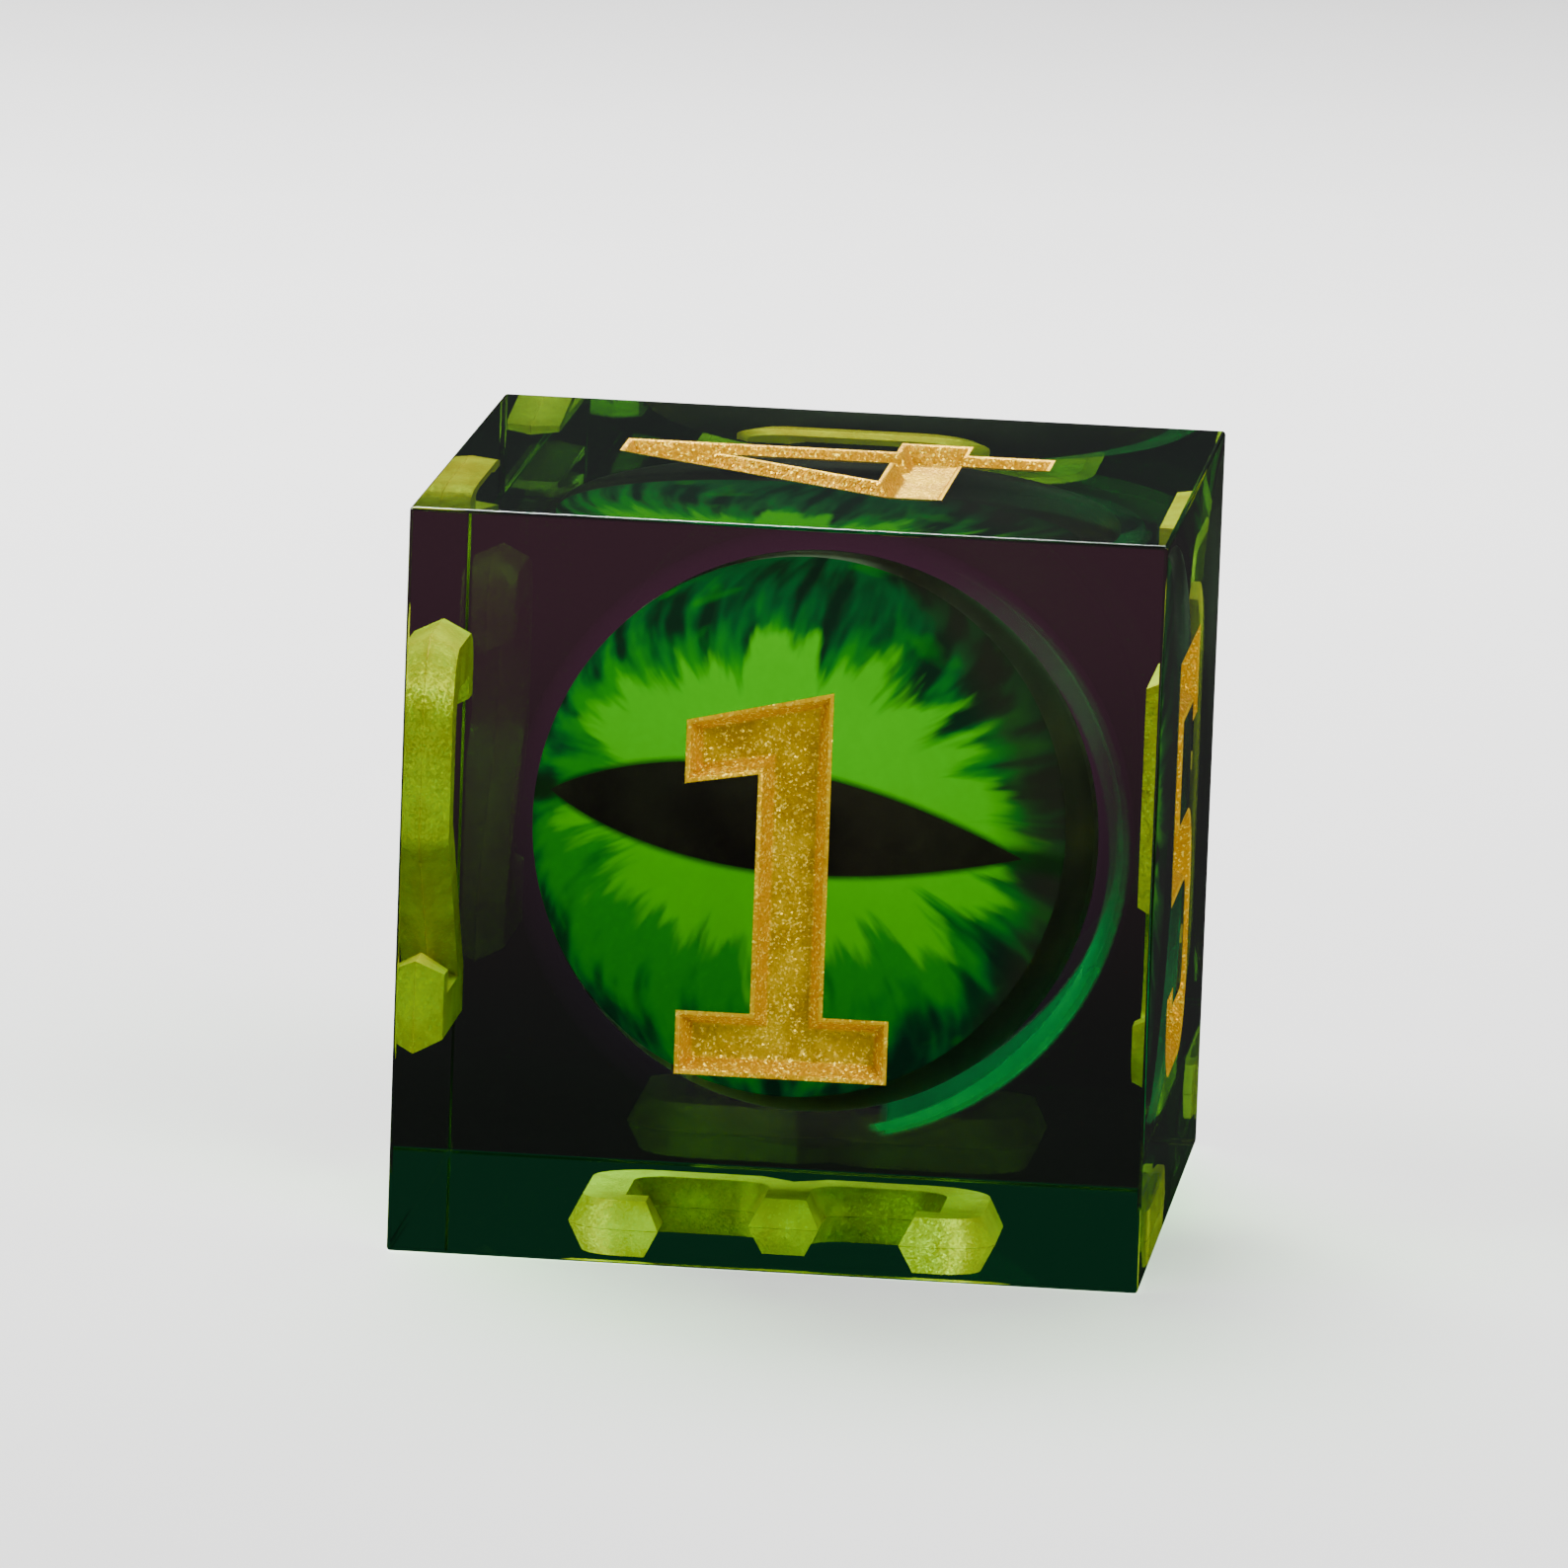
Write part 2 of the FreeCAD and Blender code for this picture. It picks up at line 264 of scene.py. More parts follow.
def from_gaze(t, a):
    """The direction at the angle t from the gaze, which is -Y, and turned by a round it."""
    return Vector((math.cos(a) * math.sin(t), -math.cos(t), math.sin(a) * math.sin(t)))


def ring_ball(shape, radius, centre, rows=BALL_ROWS, span=(0.0, 180.0)):
    """Part of a sphere round the Y axis, between two polar angles; returns its rings."""
    c = Vector(centre)
    loops = []
    for i in range(rows + 1):
        t = math.radians(span[0] + (span[1] - span[0]) * i / rows)
        if math.sin(t) < POLE:
            loops.append(shape.add([c + Vector((0, -math.cos(t) * radius, 0))]))
        else:
            turns = (2 * math.pi * k / BALL_COLUMNS for k in range(BALL_COLUMNS))
            loops.append(shape.add([c + from_gaze(t, a) * radius for a in turns]))
    for a, b in zip(loops, loops[1:]):
        shape.join(a, b)
    return loops


def add_inner_wall(outer, inner):
    """Joins the wall of a hollow to the outside round it; returns the outside's face count."""
    for polygon in inner.data.polygons:
        polygon.flip()
    bm = bmesh.new()
    bm.from_mesh(outer.data)
    outside = len(bm.faces)
    bm.from_mesh(inner.data)
    bm.to_mesh(outer.data)
    bm.free()
    bpy.data.objects.remove(inner)
    return outside


# ------------------------------------------------------------- resin casting
def rounded_cube(shape):
    """Edges and corners of the die; returns the normal and the corners of each flat."""
    bm = bmesh.new()
    bmesh.ops.create_cube(bm, size=2 * HALF)
    bmesh.ops.translate(bm, verts=bm.verts, vec=(0, 0, HALF))
    bmesh.ops.bevel(bm, geom=bm.edges[:], offset=EDGE, segments=EDGE_SEGMENTS, profile=0.5,
                    affect="EDGES", clamp_overlap=False)
    bm.verts.ensure_lookup_table()
    ids = shape.add([v.co for v in bm.verts])
    flats = sorted(bm.faces, key=lambda f: -f.calc_area())[:6]
    for face in bm.faces:
        if face not in flats:
            shape.faces.append([ids[v.index] for v in face.verts])
    out = [(face.normal.copy(), [ids[v.index] for v in face.verts],
            [v.co.copy() for v in face.verts]) for face in flats]
    bm.free()
    return out


def make_resin():
    """The engraved cube and the wall of the hollow inside it, as one mesh."""
    shape = Shape()
    flats = rounded_cube(shape)
    shape.close()
    for normal, ids, corners in flats:
        face = next(f for f in FACES if Vector(f[3]).dot(normal) > 0.9)
        _, outline, island, n, r, u = face
        place = layer(n, r, u)
        r, u = Vector(r), Vector(u)
        middle = Vector((0, 0, HALF))
        square = [Vector(((c - middle).dot(r), (c - middle).dot(u))) for c in corners]
        mouth, floor = rounded(outline), rounded(inset(outline, DRAFT))
        a = shape.add([place(p, 0) for p in mouth])
        b = shape.add([place(p, DEPTH) for p in floor])
        shape.fill([ids, a], square + mouth, lambda p, m=mouth: not inside(p, m))
        shape.close()
        shape.join(a, b)
        shape.close()
        if island:
            top, foot = rounded(island), rounded(inset(island, -DRAFT))
            c = shape.add([place(p, 0) for p in top])
            d = shape.add([place(p, DEPTH) for p in foot])
            shape.join(c, d)
            shape.close()
            shape.fill([c], top, lambda p, t=top: inside(p, t))
            shape.close()
            shape.fill([b, d], floor + foot,
                       lambda p, m=floor, t=foot: inside(p, m) and not inside(p, t))
        else:
            shape.fill([b], floor, lambda p, m=floor: inside(p, m))
        shape.close()
    outer = shape.object("resin_casting", SHARP_RESIN)
    cavity = Shape()
    ring_ball(cavity, CAVITY_R, CAPSULE_AT)
    outside = add_inner_wall(outer, cavity.object("resin_cavity", SHARP_BALL))
    wall = outer.data.attributes.new("cavity_wall", "FLOAT", "FACE")
    values = np.zeros(len(outer.data.polygons), np.float32)
    values[outside:] = 1.0
    wall.data.foreach_set("value", values)
    return outer


# ------------------------------------------------------------- gold numerals
# Section of the coat of paint: (inset, depth), from the floor of the engraving up its
# wall, over the rim and down into the hollow. It starts 0.01 mm inside the resin. The
# third number tells its sides apart: -1 against the resin, 2 on the rim, 1 on the wall
# and 0 on the floor.
PAINT = [(0.292, 0.610, -1), (-0.008, 0.004, -1), (0.004, 0.003, 2), (0.035, 0.007, 2),
         (0.070, 0.018, 2), (0.100, 0.045, 1), (0.285, 0.375, 0.8), (0.310, 0.402, 0.5),
         (0.350, 0.418, 0.2), (0.400, 0.422, 0)]


def make_numeral(digit, outline, island, n, r, u):
    """The coat of paint in one engraving, closed against the resin and towards the eye."""
    shape = Shape()
    place = layer(n, r, u)
    ends = []
    for points, sign in ((outline, 1), (island, -1)):
        if points is None:
            continue
        flat = [rounded(inset(points, sign * row[0])) for row in PAINT]
        loops = [shape.add([place(p, row[1]) for p in f], row[2])
                 for f, row in zip(flat, PAINT)]
        for a, b in zip(loops, loops[1:]):
            shape.join(a, b)
        ends.append((loops[0], flat[0], loops[-1], flat[-1]))
    for at in (0, 2):
        loops, flat = [e[at] for e in ends], [e[at + 1] for e in ends]
        hole = flat[1] if len(flat) > 1 else None
        shape.fill(loops, [p for f in flat for p in f],
                   lambda p, m=flat[0], h=hole: inside(p, m) and not (h and inside(p, h)))
    return shape.object("gold_numeral_" + digit, SHARP_GOLD, value_name="coat_side")


# -------------------------------------------------- capsule, liquid, eyeball
def make_capsule_half(name, front):
    shape = Shape()
    span = (0.0, 90.0) if front else (90.0, 180.0)
    rows = BALL_ROWS // 2
    outer = ring_ball(shape, CAVITY_R - GLUE_GAP, CAPSULE_AT, rows, span)
    inner = ring_ball(shape, CAPSULE_IN_R, CAPSULE_AT, rows, span)
    at = -1 if front else 0
    shape.join(outer[at], inner[at])
    return shape.object(name, SHARP_BALL)


def make_liquid():
    shape = Shape()
    ring_ball(shape, CAPSULE_IN_R - LIQUID_GAP, CAPSULE_AT)
    outer = shape.object("clear_liquid", SHARP_BALL)
    core = Shape()
    ring_ball(core, BALL_R - LIQUID_LAP, EYE_AT)
    add_inner_wall(outer, core.object("liquid_inside", SHARP_BALL))
    return outer


def slit_edge(a):
    """Distance from the middle of the slit to its edge, in the direction a."""
    rho = SLIT_ARC_R
    drop = rho - SLIT_HALF
    s = abs(math.sin(a))
    return -drop * s + math.sqrt(drop * drop * s * s + rho * rho - drop * drop)


def make_print(name, pupil):
    """Thin printed layer on the ball, in the eye's own frame: gaze along -Y."""
    shape = Shape()
    layers = []
    for radius in (PRINT_R, BALL_R):
        loops = []
        for i in range(PRINT_ROWS + 1):
            points = []
            for k in range(PRINT_COLUMNS):
                a = 2 * math.pi * k / PRINT_COLUMNS
                edge = math.asin(min(slit_edge(a) / PRINT_R, 1.0))
                lo, hi = (0.0, edge) if pupil else (edge, IRIS_ANGLE)
                points.append(from_gaze(lo + (hi - lo) * i / PRINT_ROWS, a) * radius)
            loops.append(shape.add(points[:1] if pupil and i == 0 else points))
        for a, b in zip(loops, loops[1:]):
            shape.join(a, b)
        layers.append(loops)
    shape.join(layers[0][-1], layers[1][-1])
    if not pupil:
        shape.join(layers[0][0], layers[1][0])
    place = Matrix.Translation(Vector(EYE_AT) * MM) @ EYE_TURN
    return shape.object(name, SHARP_PRINT, matrix=place)


# ------------------------------------------------------------------ materials
def material(name):
    """A new material with an empty node tree; returns both."""
    mat = bpy.data.materials.new(name)
    mat.use_nodes = True
    mat.node_tree.nodes.clear()
    return mat, mat.node_tree


def node(tree, kind, settings=None, **inputs):
    """Adds a node; an input given as a socket is linked, anything else is set."""
    made = tree.nodes.new("ShaderNode" + kind)
    for key, value in (settings or {}).items():
        setattr(made, key, value)
    for key, value in inputs.items():
        at = int(key[1:]) if key[0] == "_" else key.replace("_", " ")
        socket = made.inputs[at]
        if isinstance(value, bpy.types.NodeSocket):
            tree.links.new(value, socket)
        else:
            socket.default_value = value
    return made


def maths(tree, operation, *values):
    return node(tree, "Math", {"operation": operation},
                **{"_%d" % i: v for i, v in enumerate(values)}).outputs[0]


def plus(tree, a, b):
    return maths(tree, "ADD", a, b)


def minus(tree, a, b):
    return maths(tree, "SUBTRACT", a, b)


def times(tree, a, b):
    return maths(tree, "MULTIPLY", a, b)


def over(tree, a, b):
    return maths(tree, "DIVIDE", a, b)


def hypotenuse(tree, a, b):
    return maths(tree, "SQRT", plus(tree, times(tree, a, a), times(tree, b, b)))


def swing(tree, cloud, amount):
    """Noise as a shift to either side of nothing."""
    return times(tree, minus(tree, 0.5, cloud), amount)


def vector(tree, operation, *values):
    return node(tree, "VectorMath", {"operation": operation},
                **{"_%d" % i: v for i, v in enumerate(values)})


def length(tree, v):
    return vector(tree, "LENGTH", v).outputs["Value"]


def blend(tree, factor, a, b):
    return node(tree, "Mix", {"data_type": "RGBA"}, _0=factor, _6=a, _7=b).outputs[2]


def step(tree, value, low, high):
    """Smooth step of value between low and high."""
    return node(tree, "MapRange", {"interpolation_type": "SMOOTHSTEP"},
                Value=value, From_Min=low, From_Max=high).outputs[0]


def ramp(tree, value, low, high, start, end):
    """Straight line from start, where value is low, to end, where it is high."""
    return node(tree, "MapRange", Value=value, From_Min=low, From_Max=high,
                To_Min=start, To_Max=end).outputs[0]


def on_arc(tree, turn, rise, fall):
    """1 on an arc, fading in and out between the two angles of each pair."""
    return times(tree, step(tree, turn, *map(math.radians, rise)),
                 step(tree, turn, *map(math.radians, fall)))


def place_of(tree):
    return node(tree, "TexCoord").outputs["Object"]


def xyz(tree, v):
    return node(tree, "SeparateXYZ", Vector=v).outputs


def noise(tree, where, scale, detail, roughness=0.5):
    return node(tree, "TexNoise", Vector=where, Scale=scale, Detail=detail,
                Roughness=roughness).outputs[0]


def carried(tree, name):
    """A value that the mesh carries."""
    return node(tree, "Attribute", {"attribute_name": name}).outputs["Fac"]


def ray_is(tree, kind):
    return node(tree, "LightPath").outputs["Is %s Ray" % kind]


def mix(tree, share, a, b):
    return node(tree, "MixShader", _0=share, _1=a, _2=b).outputs[0]


def straight_through(tree):
    return node(tree, "BsdfTransparent", Color=WHITE).outputs[0]


def plain(tree, colour):
    return node(tree, "BsdfDiffuse", Color=colour).outputs[0]


def tinted(tree, colour, density):
    return node(tree, "VolumeAbsorption", Color=colour, Density=density).outputs[0]


def finish_tree(tree, surface, volume=None):
    out = node(tree, "OutputMaterial", Surface=surface)
    if volume is not None:
        tree.links.new(volume, out.inputs["Volume"])


WHITE, BLACK = (1, 1, 1, 1), (0, 0, 0, 1)
RESIN_SURFACE = (0.62, 0.86, 0.60, 1.0)
RESIN_TINT, RESIN_DENSITY = (0.28, 0.80, 0.20, 1.0), 105.0
RESIN_IOR = 1.5


def resin_material():
    """Clear green resin; the wall of its hollow and shadow rays go straight through."""
    mat, t = material("green_resin")
    scuff = noise(t, place_of(t), 900.0, 3.0)
    rough = ramp(t, scuff, 0.62, 0.8, 0.0, 0.06)
    glass = node(t, "BsdfPrincipled", Base_Color=RESIN_SURFACE, Transmission_Weight=1.0,
                 IOR=RESIN_IOR, Roughness=rough).outputs[0]
    open_to = maths(t, "MAXIMUM", carried(t, "cavity_wall"), ray_is(t, "Shadow"))
    finish_tree(t, mix(t, open_to, glass, straight_through(t)),
                tinted(t, RESIN_TINT, RESIN_DENSITY))
    return mat


LIQUID_TINT, LIQUID_DENSITY = (0.75, 0.95, 0.85, 1.0), 40.0


def liquid_material():
    """Bends light as the resin round it does, so it shows by its tint alone."""
    mat, t = material("clear_liquid")
    bend = node(t, "BsdfPrincipled", Base_Color=WHITE, Roughness=0.0, IOR=1.0,
                Transmission_Weight=1.0).outputs[0]
    finish_tree(t, mix(t, ray_is(t, "Shadow"), bend, straight_through(t)),
                tinted(t, LIQUID_TINT, LIQUID_DENSITY))
    return mat


# Painted light: a teal crescent in the capsule's rim between its halves, brightest low on the
# right, with a faint glow.
PAINTED_CRESCENT, PAINTED_CRESCENT_GLOW = (0.004, 0.50, 0.20, 1.0), (0.002, 0.40, 0.15, 1.0)
CRESCENT_LOW, CRESCENT_HIGH = 0.85, 0.06      # its strength low on the right, and above that
# Half the band's width, its growth low down and its soft edge, as shares of the radius.
CRESCENT_REACH, CRESCENT_SWELL, CRESCENT_BLUR = 0.24, 0.11, 0.02
CRESCENT_SKIN = (0.2, 0.1)               # mm out from the inside wall: from none to full


def capsule_material():
    """Clear, with a crescent of painted light, teal and faintly glowing, along the join
    between the two halves.
    """
    mat, t = material("clear_capsule")
    where = place_of(t)
    arm = vector(t, "SUBTRACT", where, tuple(CAPSULE_AT * MM)).outputs[0]
    x, y, z = xyz(t, vector(t, "NORMALIZE", arm).outputs[0])
    turn = maths(t, "ARCTAN2", z, x)
    low = on_arc(t, turn, (-78, -75), (10, -35))
    high = on_arc(t, turn, (-2, 3), (75, 30))
    swell = times(t, step(t, turn, math.radians(0), math.radians(-50)), CRESCENT_SWELL)
    off = minus(t, maths(t, "ABSOLUTE", y), plus(t, swell, CRESCENT_REACH))
    skin = step(t, length(t, arm), *((CAPSULE_IN_R + out) * MM for out in CRESCENT_SKIN))
    band = times(t, step(t, off, CRESCENT_BLUR, -CRESCENT_BLUR), skin)
    soft = ramp(t, noise(t, where, 500.0, 3.0), 0.3, 0.7, 0.75, 1.0)
    # painted light: how strong the crescent is, strong low on the right and faint above
    crescent_strength = plus(t, times(t, low, CRESCENT_LOW), times(t, high, CRESCENT_HIGH))
    share = times(t, times(t, band, crescent_strength), soft)
    crescent_shader = node(t, "BsdfPrincipled", Base_Color=PAINTED_CRESCENT, Roughness=0.6, Specular_IOR_Level=0.0,
                Emission_Color=PAINTED_CRESCENT_GLOW, Emission_Strength=0.25).outputs[0]
    finish_tree(t, mix(t, share, straight_through(t), crescent_shader))
    return mat


# Two colours are the ends of a mottle.
GOLD_FLOOR = (0.42, 0.25, 0.0004, 1), (0.66, 0.43, 0.0006, 1)
GOLD_BACK = (0.80, 0.42, 0.004, 1), (1.0, 0.62, 0.012, 1)   # seen through the resin
GOLD_WALL_SHADE = (0.58, 0.285, 0.0002, 1)
GOLD_RIM_HIGHLIGHT = (0.80, 0.47, 0.0005, 1)
GOLD_SPARK = (1.0, 0.74, 0.06, 1)
GOLD_SHEEN = (1.0, 0.66, 0.03, 1.0)
FLAKES_PER_M = 24000.0
FLAKE_LEAN = 0.7


def gold_material():
    """Glitter paint: flakes that lean every way, duller on the side against the resin; a
    painted highlight lightens the rim and painted shade deepens the walls to orange.
    """
    mat, t = material("gold_glitter_paint")
    where = place_of(t)
    side = carried(t, "coat_side")
    flake = node(t, "TexVoronoi", {"feature": "F1"}, Vector=where,
                 Scale=FLAKES_PER_M).outputs["Color"]
    cloud = noise(t, where, 900.0, 5.0, 0.6)
    wall, under = step(t, side, 0.0, 0.9), step(t, side, -0.2, -0.8)
    # painted highlight: lighter gold in patches along the rim
    rim = times(t, step(t, side, 1.1, 1.9), step(t, cloud, 0.36, 0.52))
    base = blend(t, step(t, cloud, 0.38, 0.62), *GOLD_FLOOR)
    # painted shade: the engraving's walls a deeper orange than its floor
    base = blend(t, wall, base, GOLD_WALL_SHADE)
    base = blend(t, rim, base, GOLD_RIM_HIGHLIGHT)
    base = blend(t, under, base, blend(t, step(t, cloud, 0.36, 0.64), *GOLD_BACK))
    open_side = minus(t, 1.0, times(t, under, 0.5))
    chance = node(t, "SeparateColor", Color=flake).outputs[0]
    spark = times(t, step(t, chance, 0.77, 0.97), open_side)
    lean = node(t, "VectorMath", {"operation": "SCALE"},
                _0=vector(t, "SUBTRACT", flake, (0.5, 0.5, 0.5)).outputs[0],
                Scale=times(t, open_side, FLAKE_LEAN)).outputs[0]
    normal = node(t, "NewGeometry").outputs["Normal"]
    facet = vector(t, "NORMALIZE", vector(t, "ADD", normal, lean).outputs[0]).outputs[0]
    shader = node(t, "BsdfPrincipled", Base_Color=blend(t, spark, base, GOLD_SPARK),
                  Metallic=0.5, Roughness=0.42, Normal=facet, Specular_Tint=GOLD_SHEEN)
    finish_tree(t, shader.outputs[0])
    return mat


IRIS_LIME = (0.080, 0.46, 0.0003, 1), (0.062, 0.41, 0.0003, 1)
IRIS_GREEN = (0.0006, 0.215, 0.008, 1)
IRIS_OUTER = (0.0008, 0.020, 0.012, 1), (0.0004, 0.085, 0.026, 1)
IRIS_FLECK = (0.006, 0.20, 0.002, 1)
IRIS_LOST = (0.020, 0.018, 0.016, 1)
IRIS_RIM = (0.002, 0.020, 0.004, 1)
IRIS_PAINTED_GLOW = 0.62
# The bright oval of the iris, as angles seen from the middle of the ball.
OVAL_RIGHT, OVAL_UP = math.radians(3.0), math.radians(4.0)
OVAL_WIDE, OVAL_HIGH = math.radians(50.0), math.radians(33.0)
RAY_CHANGE = 0.16               # how fast the rays change on their way outwards
RIM_WIDTH = 0.16 * MM           # of the dark rim round the slit
# The line that runs on past the slit's corners, from none to full.
TAIL_ALOFT = (0.40 * MM, 0.08 * MM)     # up or down from the slit's plane
TAIL_ASIDE = (4.3 * MM, 5.2 * MM)       # to either side of its middle


def iris_material():
    """Ragged lime oval, dark green round it, run out on the far side; it glows a little, as
    painted light.
    """
    mat, t = material("printed_iris")
    where = place_of(t)
    x, y, z = xyz(t, where)
    across = maths(t, "ARCTAN2", x, times(t, y, -1.0))          # angle to the right
    lift = maths(t, "ARCTAN2", z, hypotenuse(t, x, y))          # angle upwards
    # 0 in the middle of the oval and 1 on its edge
    wide = over(t, minus(t, across, OVAL_RIGHT), OVAL_WIDE)
    high = over(t, minus(t, lift, OVAL_UP), OVAL_HIGH)
    reach = hypotenuse(t, wide, high)
    # rays: noise read round a circle, so it has no seam
    nonzero = maths(t, "MAXIMUM", reach, 0.001)
    ring = node(t, "CombineXYZ", X=over(t, wide, nonzero), Y=over(t, high, nonzero),
                Z=times(t, reach, RAY_CHANGE)).outputs[0]
    teeth = noise(t, ring, 6.5, 3.0, 0.56)
    streak = noise(t, ring, 8.0, 2.0)
    blot = noise(t, where, 560.0, 2.0)
    jag = plus(t, reach, swing(t, teeth, 1.5))
    bright = step(t, jag, 1.10, 0.84)
    # the green round it dies away in ragged streaks, sooner above than below
    tired = plus(t, jag, plus(t, swing(t, streak, 2.3), swing(t, blot, 1.1)))
    tired = plus(t, tired, times(t, lift, 0.54))
    tired = plus(t, tired, times(t, across, 0.15))
    # and towards the edge of the print
    limb = plus(t, over(t, hypotenuse(t, x, z), PRINT_R * MM), swing(t, streak, 0.5))
    limb = step(t, limb, 0.78, 0.97)
    mid = times(t, step(t, tired, 1.95, 0.85), minus(t, 1.0, times(t, limb, 0.85)))
    rays = step(t, streak, 0.36, 0.62)
    fleck = times(t, step(t, blot, 0.60, 0.70), 0.55)
    outer = blend(t, fleck, blend(t, rays, *IRIS_OUTER), IRIS_FLECK)
    greens = blend(t, mid, outer, IRIS_GREEN)
    colour = blend(t, bright, greens, blend(t, blot, *IRIS_LIME))
    # the print runs out into the dark on the far side
    lost = step(t, plus(t, across, times(t, lift, 0.30)), math.radians(48.0),
                math.radians(66.0))
    lost = times(t, lost, minus(t, 1.0, times(t, rays, 0.25)))
    colour = blend(t, lost, colour, IRIS_LOST)
    # soft dark rim round the slit, running on as a line past its corners
    aside, aloft = maths(t, "ABSOLUTE", x), maths(t, "ABSOLUTE", z)
    arc_r = SLIT_ARC_R * MM
    from_centre = hypotenuse(t, x, plus(t, aloft, arc_r - SLIT_HALF * MM))
    rim = step(t, minus(t, from_centre, arc_r), RIM_WIDTH, 0.0)
    tail = times(t, step(t, aloft, *TAIL_ALOFT), step(t, aside, *TAIL_ASIDE))
    line = times(t, maths(t, "MAXIMUM", rim, tail), 0.85)
    colour = blend(t, line, colour, IRIS_RIM)
    # painted light: the print glows in its own colour
    shader = node(t, "BsdfPrincipled", Base_Color=blend(t, 0.65, colour, BLACK),
                  Roughness=0.6, Specular_IOR_Level=0.0, Emission_Color=colour,
                  Emission_Strength=IRIS_PAINTED_GLOW)
    finish_tree(t, shader.outputs[0])
    return mat


def mottled_material(name, dark, light, scale, roughness, metallic=0.0, specular=0.5):
    """Two close colours, for the plainer pieces."""
    mat, t = material(name)
    cloud = noise(t, place_of(t), scale, 4.0)
    shader = node(t, "BsdfPrincipled", Roughness=roughness, Metallic=metallic,
                  Base_Color=blend(t, step(t, cloud, 0.35, 0.65), dark, light),
                  Specular_IOR_Level=specular)
    finish_tree(t, shader.outputs[0])
    return mat


FLOOR_PALE = (0.86, 0.855, 0.85, 1), (0.92, 0.915, 0.91, 1)
# Painted shade that the resin meets in the floor's place, with a painted shadow darkest at the
# die: near, then far.
MIRRORED_SHADE = (0.008, 0.008, 0.008, 1), (0.068, 0.034, 0.048, 1)
MIRRORED_AHEAD = (-0.015, -0.11)        # along Y, in m
BEHIND_SHADE = (0.015, 0.005, 0.018, 1), (0.052, 0.007, 0.040, 1)
BEHIND_AWAY = (0.020, 0.085)            # from the die, in m


def floor_material():
    """Pale to the camera; rays that the resin mirrors or bends meet painted shade instead,
    darkest near the die.
    """
    mat, t = material("pale_floor")
    where = place_of(t)
    pale = blend(t, noise(t, where, 60.0, 5.0), *FLOOR_PALE)
    # painted shade for mirrored and bent rays, with a painted shadow near the die
    mirrored = blend(t, step(t, xyz(t, where)[1], *MIRRORED_AHEAD), *MIRRORED_SHADE)
    behind = blend(t, step(t, length(t, where), *BEHIND_AWAY), *BEHIND_SHADE)
    surface = mix(t, ray_is(t, "Glossy"), plain(t, pale), plain(t, mirrored))
    finish_tree(t, mix(t, ray_is(t, "Transmission"), surface, plain(t, behind)))
    return mat


def paint_on(obj, mat):
    obj.data.materials.clear()
    obj.data.materials.append(mat)


# --------------------------------------------------------------------- pieces
resin = make_resin()
paint_on(resin, resin_material())
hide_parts("resin_body")
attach(resin, "die")

gold = gold_material()
for face in FACES:
    numeral = make_numeral(*face)
    paint_on(numeral, gold)
    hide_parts("numeral_" + face[0])
    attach(numeral, "die")

shell = capsule_material()
for end in ("front", "rear"):
    half = make_capsule_half("clear_capsule_" + end, end == "front")
    paint_on(half, shell)
    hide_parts("capsule_" + end)
    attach(half, "die")

liquid = make_liquid()
paint_on(liquid, liquid_material())
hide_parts("core_liquid")
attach(liquid, "liquid")

iris = make_print("green_iris", False)
paint_on(iris, iris_material())
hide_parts("iris_print")
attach(iris, "eye")
pupil = make_print("slit_pupil", True)
paint_on(pupil, mottled_material("printed_pupil", (0.006, 0.005, 0.004, 1),
                                 (0.014, 0.010, 0.008, 1), 500.0, 0.5, specular=0.0))
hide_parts("pupil_print")
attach(pupil, "eye")

# The ball and its weight are the part's own meshes.
black = mottled_material("black_eyeball", (0.006, 0.006, 0.005, 1), (0.012, 0.010, 0.009, 1),
                         400.0, 0.5, specular=0.1)
for name in ("eyeball_front", "eyeball_rear"):
    paint_on(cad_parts[name], black)
steel = mottled_material("steel_weight", (0.42, 0.42, 0.43, 1), (0.58, 0.58, 0.59, 1),
                         900.0, 0.35, 1.0)
paint_on(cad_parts["eye_weight"], steel)

# ---------------------------------------------------------------------- stage
FLOOR_HALF = 1.2
FLOOR_DROP = 0.00002            # keeps the floor clear of the die's underside
SKY, SKY_IN_RESIN = (0.040, 0.042, 0.044, 1), (0.013, 0.040, 0.065, 1)

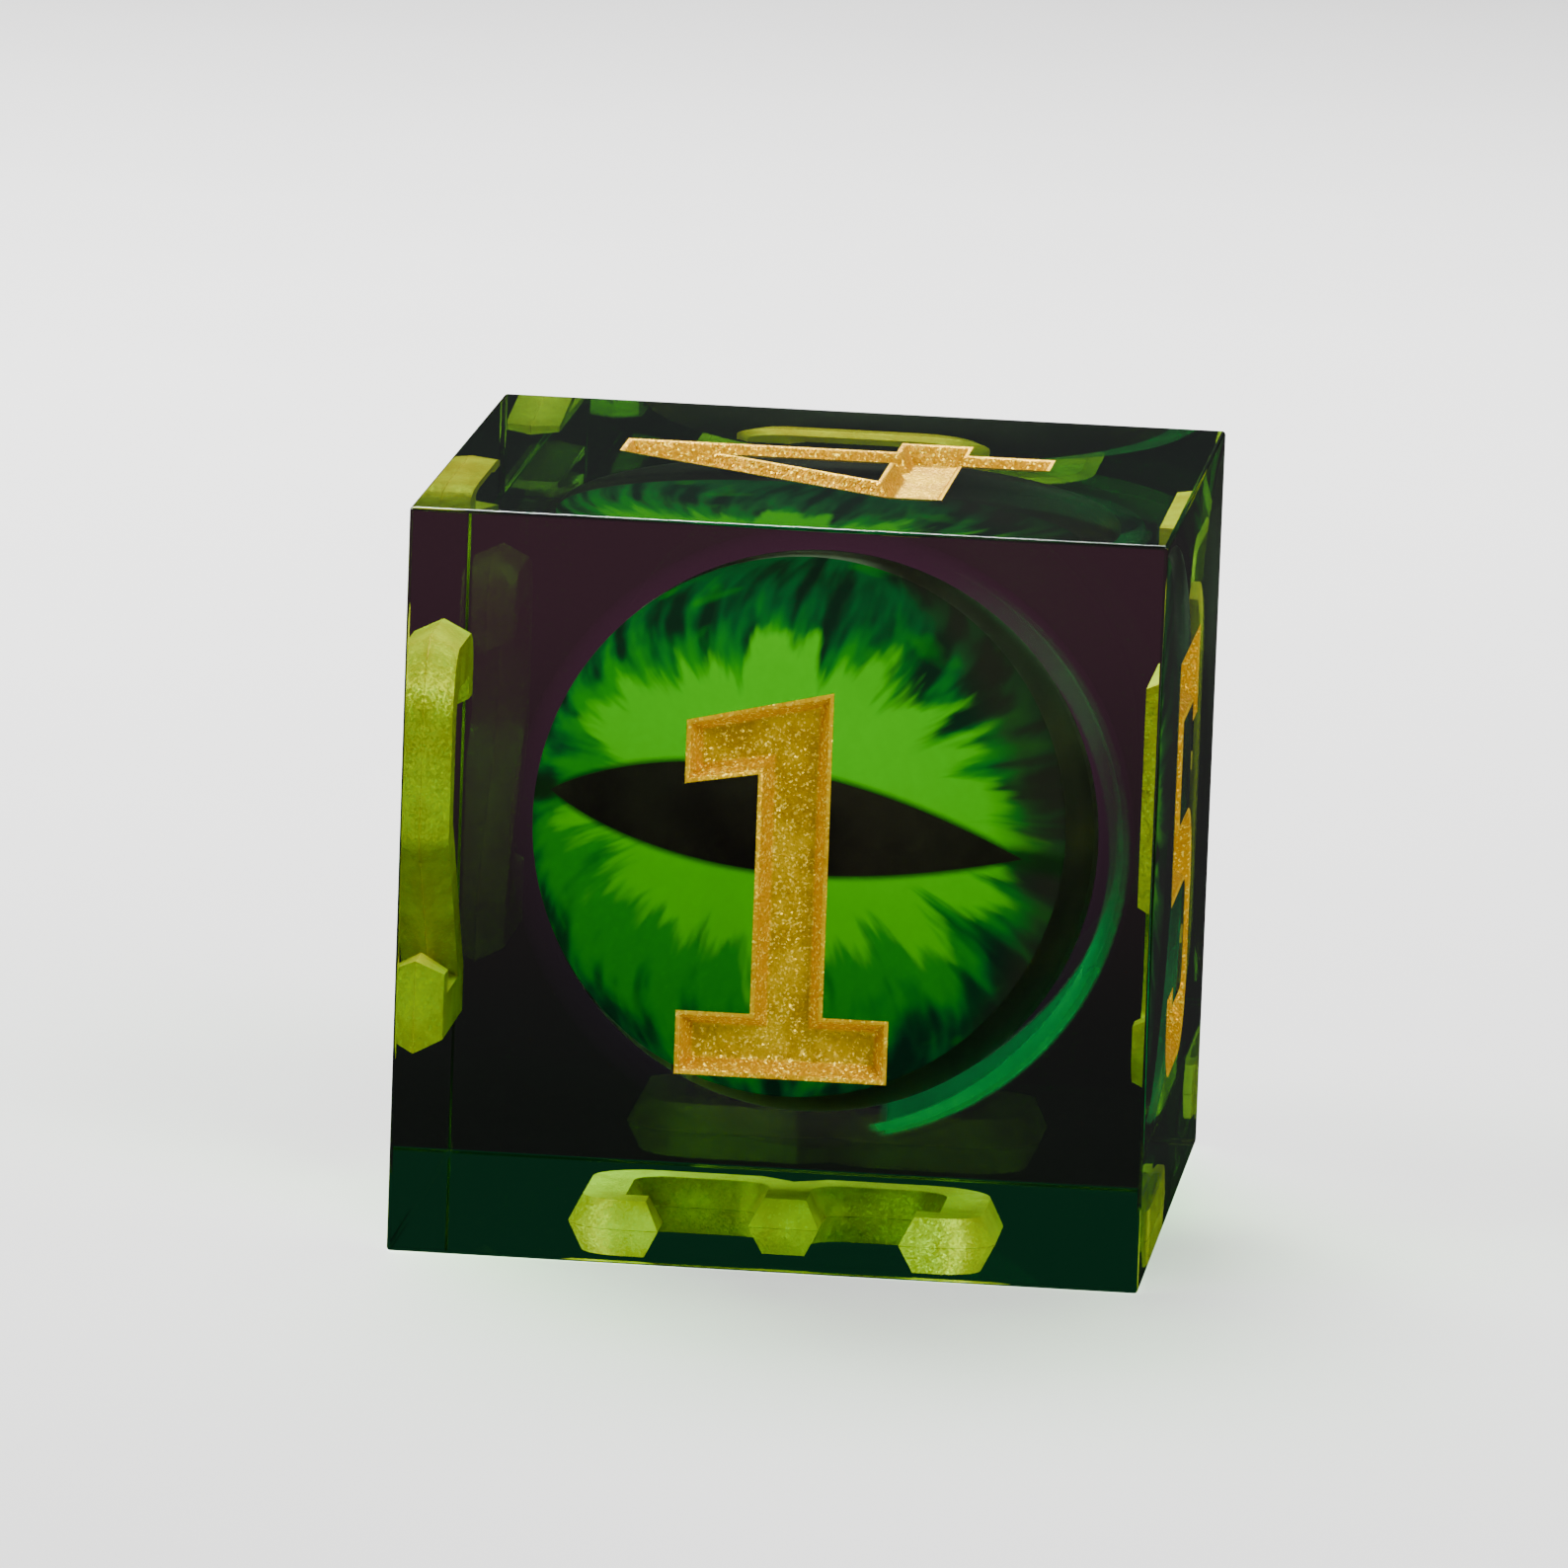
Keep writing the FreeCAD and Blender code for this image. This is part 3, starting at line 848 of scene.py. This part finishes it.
floor_mesh = bpy.data.meshes.new("floor")
floor_mesh.from_pydata([(x * FLOOR_HALF, y * FLOOR_HALF, 0)
                        for x, y in ((-1, -1), (1, -1), (1, 1), (-1, 1))], [], [(0, 1, 2, 3)])
floor = bpy.data.objects.new("floor", floor_mesh)
floor.location.z = -FLOOR_DROP
bpy.context.scene.collection.objects.link(floor)
paint_on(floor, floor_material())

world = bpy.data.worlds.new("studio")
world.use_nodes = True
sky = world.node_tree
sky.nodes.clear()
tone = blend(sky, ray_is(sky, "Transmission"), SKY, SKY_IN_RESIN)
node(sky, "OutputWorld", Surface=node(sky, "Background", Color=tone).outputs[0])
bpy.context.scene.world = world

AIM = Vector((0, 0, 0.008))
# name, place, width, height, power in W
SOFTBOXES = [
    ("top_softbox", (-0.05, 0.12, 0.18), 0.10, 0.10, 0.70),
    ("back_softbox", (-0.03, 0.17, 0.17), 0.16, 0.06, 0.60),
    ("left_softbox", (-0.19, -0.09, 0.21), 0.10, 0.10, 0.50),
    ("right_softbox", (0.15, -0.155, 0.21), 0.10, 0.10, 0.84),
]
for name, place, width, height, power in SOFTBOXES:
    lamp = bpy.data.lights.new(name, "AREA")
    lamp.shape = "RECTANGLE"
    lamp.size, lamp.size_y = width, height
    lamp.energy = power
    box = bpy.data.objects.new(name, lamp)
    bpy.context.scene.collection.objects.link(box)
    box.visible_transmission = False            # no lamp shapes seen through the resin
    box.location = place
    box.rotation_euler = (AIM - Vector(place)).to_track_quat("-Z", "Y").to_euler()

# --------------------------------------------------------------------- camera
SENSOR, LENS = 36.0, 327.1      # mm
NEAREST, FARTHEST = 0.01, 5.0
CAMERA_RIGHT = Vector((0.9937595, 0.10556118, 0.03604013))
CAMERA_UP = Vector((-0.05433376, 0.17592392, 0.98290316))
CAMERA_AT = Vector((0.02929207, -0.30115178, 0.06460397))

camera_data = bpy.data.cameras.new("camera")
camera_data.sensor_width, camera_data.lens = SENSOR, LENS
camera_data.clip_start, camera_data.clip_end = NEAREST, FARTHEST
camera = bpy.data.objects.new("camera", camera_data)
bpy.context.scene.collection.objects.link(camera)
columns = (CAMERA_RIGHT, CAMERA_UP, CAMERA_RIGHT.cross(CAMERA_UP), CAMERA_AT)
camera.matrix_world = Matrix([*zip(*columns), (0, 0, 0, 1)])
bpy.context.scene.camera = camera
